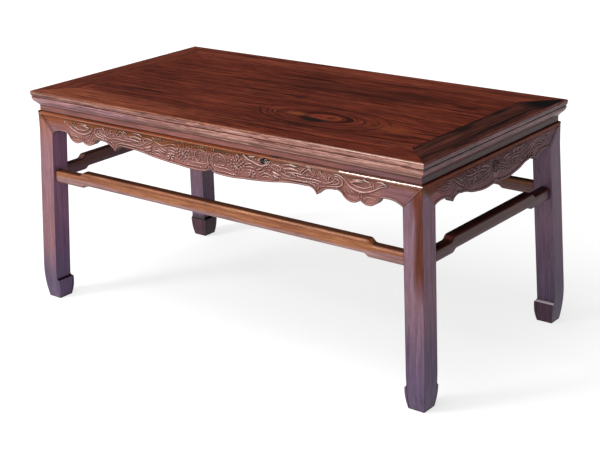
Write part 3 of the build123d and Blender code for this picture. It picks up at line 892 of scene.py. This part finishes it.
# the carving from the middle of an apron to its right end, mirrored for the left
frontHalf = [
    # the middle: two stems rise from the notch under a canopy of petals
    [(14, 42, 0.9), (7, 38.5, 0.9), (5, 32, 0.9), (4.8, 24, 0.9), (2, 17, 1.0), (0, 13, 0.9)],
    [(9, 38, 0.6), (2.6, 35, 0.7), (1.6, 29, 0.7), (1.8, 22, 0.5)],
    *flutes((3, 9), (30, 8), 7, (3.5, -3.5), 1.2),
    [(3, 40, 0.7), (4, 31, 0.9), (5, 22, 1.0), (9, 15, 1.1), (17, 11.5, 1.2), (26, 12.5, 1.2), (33, 18, 1.2),
     (34, 26, 1.1), (29, 31, 1.0), (22, 30, 0.9), (21, 25, 0.7)],
    *flutes((9, 20), (17, 18), 4, (0.5, 9), 0.9, 0.1),
    *flutes((25, 17), (30, 20), 3, (0, 7), 0.9, 0.1),
    [(8, 33, 0.7), (20, 35, 1.2), (34, 34, 1.2), (46, 37, 0.5)],
    [(16, 41, 0.6), (34, 40, 1.3), (56, 42, 0.6)],
    # the great blossom: rings of short petals under a fan
    *blossom((59, 24), ((1.0, 5), (6.0, 9), (11.5, 14)), 4.6, 1.5, 40),
    *flutes((46, 6), (78, 9), 8, (3, -4), 1.3),
    comma((74, 21), (90, 18), -1.5, 1.5),
    comma((76, 25), (95, 24), -1.5, 1.5),
    comma((78, 29), (98, 31), -1.5, 1.4),
    *fan((88, 35), 150, 400, 6, 2, 9, 1.6),
    [(74, 13, 0.6), (84, 11.5, 1.0), (95, 15, 1.4), (105, 18.5, 1.5), (116, 16.5, 1.4), (127, 11.5, 0.6)],
    *flutes((107, 11), (123, 12), 5, (5, -5.5), 1.5),
    comma((98, 26), (112, 19), 1.2, 1.6),
    comma((102, 30), (118, 22), 1.2, 1.6),
    [(104, 37, 0.6), (110, 30, 1.4), (120, 27.5, 1.5), (131, 32, 0.6)],
    comma((110, 36), (126, 34), -1.5, 1.4),
    # second scroll and its plain petals
    [(126, 14, 0.6), (136, 11, 1.3), (146, 12, 1.6), (150, 17, 1.4), (146, 20.5, 1.0), (141, 18, 0.8)],
    comma((131, 23), (148, 27), 2.0, 3.0),
    comma((132, 29), (146, 32), 1.0, 2.4),
    [(147, 21, 0.5), (154, 25, 1.2), (166, 27, 1.2), (178, 25.5, 0.5)],
    *flutes((128, 15), (140, 20), 4, (5, 3), 1.2),
    comma((152, 9), (178, 8), -2.0, 2.2),
    comma((154, 15), (186, 15), -2.5, 2.6),
    comma((160, 20), (196, 19), -1.5, 1.6),
    [(150, 30, 0.5), (170, 30, 1.1), (190, 29, 1.2), (206, 29, 1.1), (216, 33, 0.5)],
    # crossed leaves over the hook
    comma((186, 17), (201, 4.5), -1.6, 1.8),
    comma((190, 18), (207, 6.5), -1.6, 1.6),
    comma((214, 17), (199, 6), 1.6, 1.8),
    comma((217, 15), (208, 5), 1.2, 1.4),
    [(176, 22, 0.6), (196, 23.5, 1.3), (214, 22, 1.4), (228, 24, 0.6)],
    [(196, 27, 0.5), (210, 26.5, 1.1), (224, 28, 0.5)],
    comma((214, 29), (217, 37), 2.2, 1.2),
    comma((222, 29), (219, 38), -2.2, 1.2),
    # forked leaf
    comma((236, 19), (222, 8), 1.5, 1.6),
    comma((238, 20), (232, 7), 1.5, 1.4),
    comma((240, 21), (248, 8), -1.5, 1.8),
    *flutes((226, 16), (238, 22), 4, (3.5, -3), 1.2),
    [(228, 25, 0.5), (240, 24, 1.4), (250, 19, 1.2), (256, 12, 0.5)],
    # the shell leaf over the arch: contour inside contour
    [(236, 29, 0.6), (250, 27.5, 1.3), (262, 26, 1.4), (268.5, 20, 1.4), (266, 13, 1.3), (256, 9, 1.0), (247, 11, 0.6)],
    [(244, 25, 0.5), (254, 23.5, 1.2), (262, 20, 1.2), (260, 14.5, 1.0), (253, 13.5, 0.6)],
    [(248, 21, 0.5), (255, 19.5, 1.1), (256.5, 16.5, 0.6)],
    # the bowl over the double lobe
    [(270, 9, 0.6), (274, 17, 1.4), (284, 24, 1.6), (298, 27.5, 1.7), (312, 26, 1.6), (325, 20.5, 1.5), (338, 13, 1.3),
     (350, 10, 0.5)],
    [(277, 9, 0.5), (282, 15, 1.0), (292, 19.5, 1.2), (306, 20.5, 1.2), (318, 17, 1.1), (327, 11, 0.6)],
    comma((282, 15), (306, 12), -2.4, 2.6),
    comma((286, 10), (312, 9), -1.0, 1.6),
    comma((322, 19), (313, 5.5), 1.2, 1.5),
    comma((325, 19), (322, 5.5), 1.2, 1.4),
    comma((331, 15), (348, 7), -1.5, 1.5),
    # lines from the cusp up to the bowl, and a petal line in each lobe
    [(296.5, 38.5, 0.6), (296, 33, 1.0), (299, 28, 0.7)],
    [(301.5, 38.5, 0.6), (303, 33, 1.0), (301, 28, 0.7)],
    comma((275, 24), (284, 33), 1.6, 1.3),
    comma((279, 23), (290, 31), 1.6, 1.3),
    comma((272, 27), (276, 36), 1.4, 1.2),
    [(306, 41, 0.5), (309, 34.5, 1.0), (318, 32, 1.0), (328, 34, 0.5)],
    [(293, 41, 0.5), (288, 36.5, 0.9), (279, 36, 0.5)],
]

endHalf = [
    # a small point in the middle with ribbed petals over it
    [(12, 44.5, 0.8), (5, 41, 0.8), (0, 38, 0.8)],
    *fan((0, 30), 20, 95, 6, 3.5, 13, 1.3),
    *fan((0, 24), 180, 360, 8, 2, 7.5, 1.3),
    *fan((0, 24), 190, 350, 9, 7.5, 12.5, 1.2),
    comma((6, 31), (22, 38), -1.2, 1.4),
    comma((10, 28), (27, 33), -1.2, 1.4),
    [(13, 19, 0.6), (20, 21, 1.2), (27, 25.5, 1.4), (38, 26, 0.6)],
    [(16, 25, 0.5), (24, 29, 1.2), (36, 32.5, 1.2), (48, 31, 0.5)],
    comma((22, 17), (46, 13), -2.2, 2.6),
    comma((30, 21), (50, 18), -1.6, 1.8),
    [(30, 40, 0.5), (46, 39, 1.3), (62, 38.5, 0.5)],
    # the side blossom, waved petals one over another
    [(46, 23, 0.5), (56, 21, 1.1), (68, 23, 1.2), (82, 25, 0.5)],
    [(48, 17.5, 0.5), (58, 16, 1.1), (70, 18.5, 1.3), (86, 16, 1.2), (94, 12, 0.5)],
    comma((52, 14), (66, 8), -2.4, 2.2),
    comma((64, 14), (80, 9), -2.4, 2.2),
    comma((76, 14), (92, 7), -1.8, 1.8),
    *flutes((54, 8), (82, 6), 5, (4, -2.5), 1.2),
    curl((79, 32), 4.4, 1.3, 200, 0.9),
    *fan((64, 29), 150, 390, 6, 1.5, 6.0, 1.2),
    comma((86, 28), (98, 36), 1.4, 1.3),
    # the stem that swings down to the hook
    [(92, 30, 0.5), (99, 27, 1.2), (110, 23, 1.4), (121, 13.5, 1.5), (133, 8.5, 1.3), (148, 9, 0.6)],
    [(95, 23, 0.5), (104, 19, 1.2), (113, 12, 1.3), (124, 8.5, 0.5)],
    *flutes((101, 30), (112, 25), 4, (6, 5), 1.2),
    comma((114, 30), (124, 36), 1.6, 1.4),
    comma((118, 27), (128, 38), 1.4, 1.2),
    # almond leaf and the tails by the leg
    [(130, 17, 0.5), (139, 13, 1.2), (150, 12.5, 1.2), (160, 17.5, 0.5)],
    [(131, 18, 0.5), (140, 20.5, 1.2), (150, 20.5, 1.2), (161, 18, 0.5)],
    comma((138, 17), (154, 17), -0.8, 1.6),
    [(126, 24, 0.5), (140, 25, 1.2), (156, 24.5, 1.2), (170, 17, 0.5)],
    comma((160, 11), (174, 9), -1.6, 1.5),
    comma((163, 15), (178, 15), -1.6, 1.3),
]


def mountCarving(piece, material):
    piece.data.materials.clear()
    piece.data.materials.append(bpy.data.materials[material])
    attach(piece, "root")


def finishCarving(side, strokes, fillings):
    ground = cutGround(side)
    leaves = drawStrokes(f"leaves_{side}", mirrored(strokes), side)
    small = drawStrokes(f"buds_{side}", mirrored(fillings), side, sides=0)
    mountCarving(ground, f"waxed_rosewood_apron_{side}")
    for piece in (leaves, small):
        mountCarving(piece, f"waxed_rosewood_leaves_{side}")
    if side == "front":
        polishFlat(ground)
    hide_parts(f"apron_{side}")
    print(f"{side} apron carved:", *(len(piece.data.polygons) for piece in (ground, leaves, small)), "faces")


# painted glints: crests of the front carving painted pale
paintedGlints = [
    comma((72, 4.5), (87, 12.5), 0.8, 1.2), comma((84, 5.5), (98, 3.5), 1.0, 1.1), comma((58, 6), (64, 10), 0.5, 0.8),
    comma((53, 25), (62, 31), 0.5, 0.9), comma((9, 4), (10, 9), 0.3, 0.6), comma((-59, 1.5), (-58, 6), 0.3, 0.6),
    comma((-60, 25), (-56, 24), 0.3, 0.6), comma((-258, 20), (-254, 19), 0.3, 0.6),
    comma((168, 5), (181, 7), 1.0, 1.2), [(199, 4, 0.4), (203, 2.5, 0.8), (207, 5, 0.8), (208, 9, 0.3)],
    comma((226, 6), (227, 11), 0.3, 0.6), [(253, 6.5, 0.4), (260, 6.5, 0.8), (267, 9, 0.8), (272, 12.5, 0.3)],
    comma((307, 6), (317, 9), 0.6, 1.0), [(331, 6, 0.4), (339, 5, 1.0), (346, 7.5, 0.8), (349, 10, 0.3)],
    comma((168, 18), (179, 22), 0.6, 0.7), comma((116, 7), (122, 3), 0.4, 0.6),
]
frontBuds = buds(frontHalf, span=(6, 262, 5, 38), floorLine=lambda u: 39 - 0.04 * abs(u - 60), pitch=4.3, clear=2.6)
endBuds = buds(endHalf, span=(3, 124, 5, 40), floorLine=lambda u: 41 - 0.07 * max(0, u - 40), pitch=4.3, clear=2.5)
for side in ("front", "back"):
    finishCarving(side, frontHalf, frontBuds)
for side in ("right", "left"):
    finishCarving(side, endHalf, endBuds)
mountCarving(drawStrokes("painted_glints_front", paintedGlints, "front", sides=1, lift=1.1 * mm), "painted_glint_crests")


studio = {
    "floorSize": 60.0,
    "floorLevel": -0.2 * mm,    # just under the soles
    "floorTone": 0.50,
    "shownTone": 0.34,          # the floor that the eye sees: paler shadows than it casts light
    "floorGlow": 0.74,
    "farGlow": 0.90,            # the paper brightens away from the table
    "glowNear": 0.55,
    "glowFar": 1.5,
    "lightSide": (-0.45, -0.5, 0.74),
    "lightSpread": (0.25, 0.95),
    "wallTone": 0.015,          # the room is dark behind the table
    "ceilingTone": 1.1,
    "keyPlace": (-2.78, -4.09, 2.97),
    "keySize": 1.3,
    "keyPower": 180,
    "topPlace": (-0.3, -0.9, 2.6),
    "topSize": 1.6,
    "topPower": 35,
}


def makeFloor():
    bpy.ops.mesh.primitive_plane_add(size=studio["floorSize"], location=(0, 0, studio["floorLevel"]))
    floor = bpy.context.object
    floor.name = "studio_floor"
    material, tree = newMaterial("pale_paper_floor")
    paper, shownPaper = (
        addNode(tree, "ShaderNodeBsdfDiffuse", {}, {"Color": (tone, tone, tone, 1)}).outputs[0]
        for tone in (studio["floorTone"], studio["shownTone"]))
    far = vectorMath(tree, "LENGTH", addNode(tree, "ShaderNodeTexCoord").outputs["Object"])
    strength = easeBetween(tree, far, studio["glowNear"], studio["glowFar"], studio["floorGlow"], studio["farGlow"])
    glow = addNode(tree, "ShaderNodeEmission", {}, {"Strength": strength}).outputs[0]
    seen = addNode(tree, "ShaderNodeAddShader", {}, {0: shownPaper, 1: glow}).outputs[0]
    rays = addNode(tree, "ShaderNodeLightPath").outputs
    shown = mathNode(tree, "MAXIMUM", rays["Is Camera Ray"], rays["Is Glossy Ray"])
    shown = mathNode(tree, "MAXIMUM", shown, rays["Is Transmission Ray"])
    mixed = addNode(tree, "ShaderNodeMixShader", {}, {0: shown, 1: paper, 2: seen}).outputs[0]
    addNode(tree, "ShaderNodeOutputMaterial", {}, {"Surface": mixed})
    floor.data.materials.append(material)


def makeSky():
    world = bpy.data.worlds.new("studio_room")
    bpy.context.scene.world = world
    world.use_nodes = True
    tree = world.node_tree
    tree.nodes.clear()
    direction = addNode(tree, "ShaderNodeTexCoord").outputs["Generated"]
    toLight = vectorMath(tree, "DOT_PRODUCT", direction, Vector(studio["lightSide"]).normalized())
    tone = easeBetween(tree, toLight, *studio["lightSpread"], studio["wallTone"], studio["ceilingTone"])
    room = addNode(tree, "ShaderNodeBackground", {}, {"Color": (1, 1, 1, 1), "Strength": tone}).outputs[0]
    addNode(tree, "ShaderNodeOutputWorld", {}, {"Surface": room})


def makeSoftbox(name, place, size, power, target=(0, 0, 0.2)):
    bpy.ops.object.light_add(type="AREA", location=place)
    lamp = bpy.context.object
    lamp.name = name
    lamp.data.shape = "SQUARE"
    lamp.data.size = size
    lamp.data.energy = power
    lamp.rotation_euler = (Vector(target) - Vector(place)).to_track_quat("-Z", "Y").to_euler()


makeFloor()
makeSky()
for lamp in ("key", "top"):
    makeSoftbox(f"{lamp}_softbox", *(studio[lamp + part] for part in ("Place", "Size", "Power")))

view = {
    "azimuth": 38.41,           # degrees to the right of the long front side
    "elevation": 15.83,
    "roll": -1.70,
    "distance": 2.3626,
    "target": (0.0208, 0.0, 0.3181),
    "lens": 81.70,
    "sensor": 36,
    "rise": -0.15,              # of the sensor's width: keeps the legs nearly upright
}


def makeCamera():
    azimuth, elevation, roll = (math.radians(view[key]) for key in ("azimuth", "elevation", "roll"))
    back = Vector((math.sin(azimuth) * math.cos(elevation), -math.cos(azimuth) * math.cos(elevation),
                   math.sin(elevation)))
    right = Vector((0, 0, 1)).cross(back).normalized()
    up = back.cross(right)
    leanRight = right * math.cos(roll) + up * math.sin(roll)
    leanUp = up * math.cos(roll) - right * math.sin(roll)
    camera = bpy.data.objects.new("camera", bpy.data.cameras.new("camera"))
    bpy.context.collection.objects.link(camera)
    turn = Matrix((leanRight, leanUp, back)).transposed().to_4x4()
    camera.matrix_world = Matrix.Translation(Vector(view["target"]) + back * view["distance"]) @ turn
    camera.data.lens = view["lens"]
    camera.data.sensor_width = view["sensor"]
    camera.data.shift_y = view["rise"]
    bpy.context.scene.camera = camera


makeCamera()
bpy.context.scene.view_settings.view_transform = "Standard"
print("studio ready")
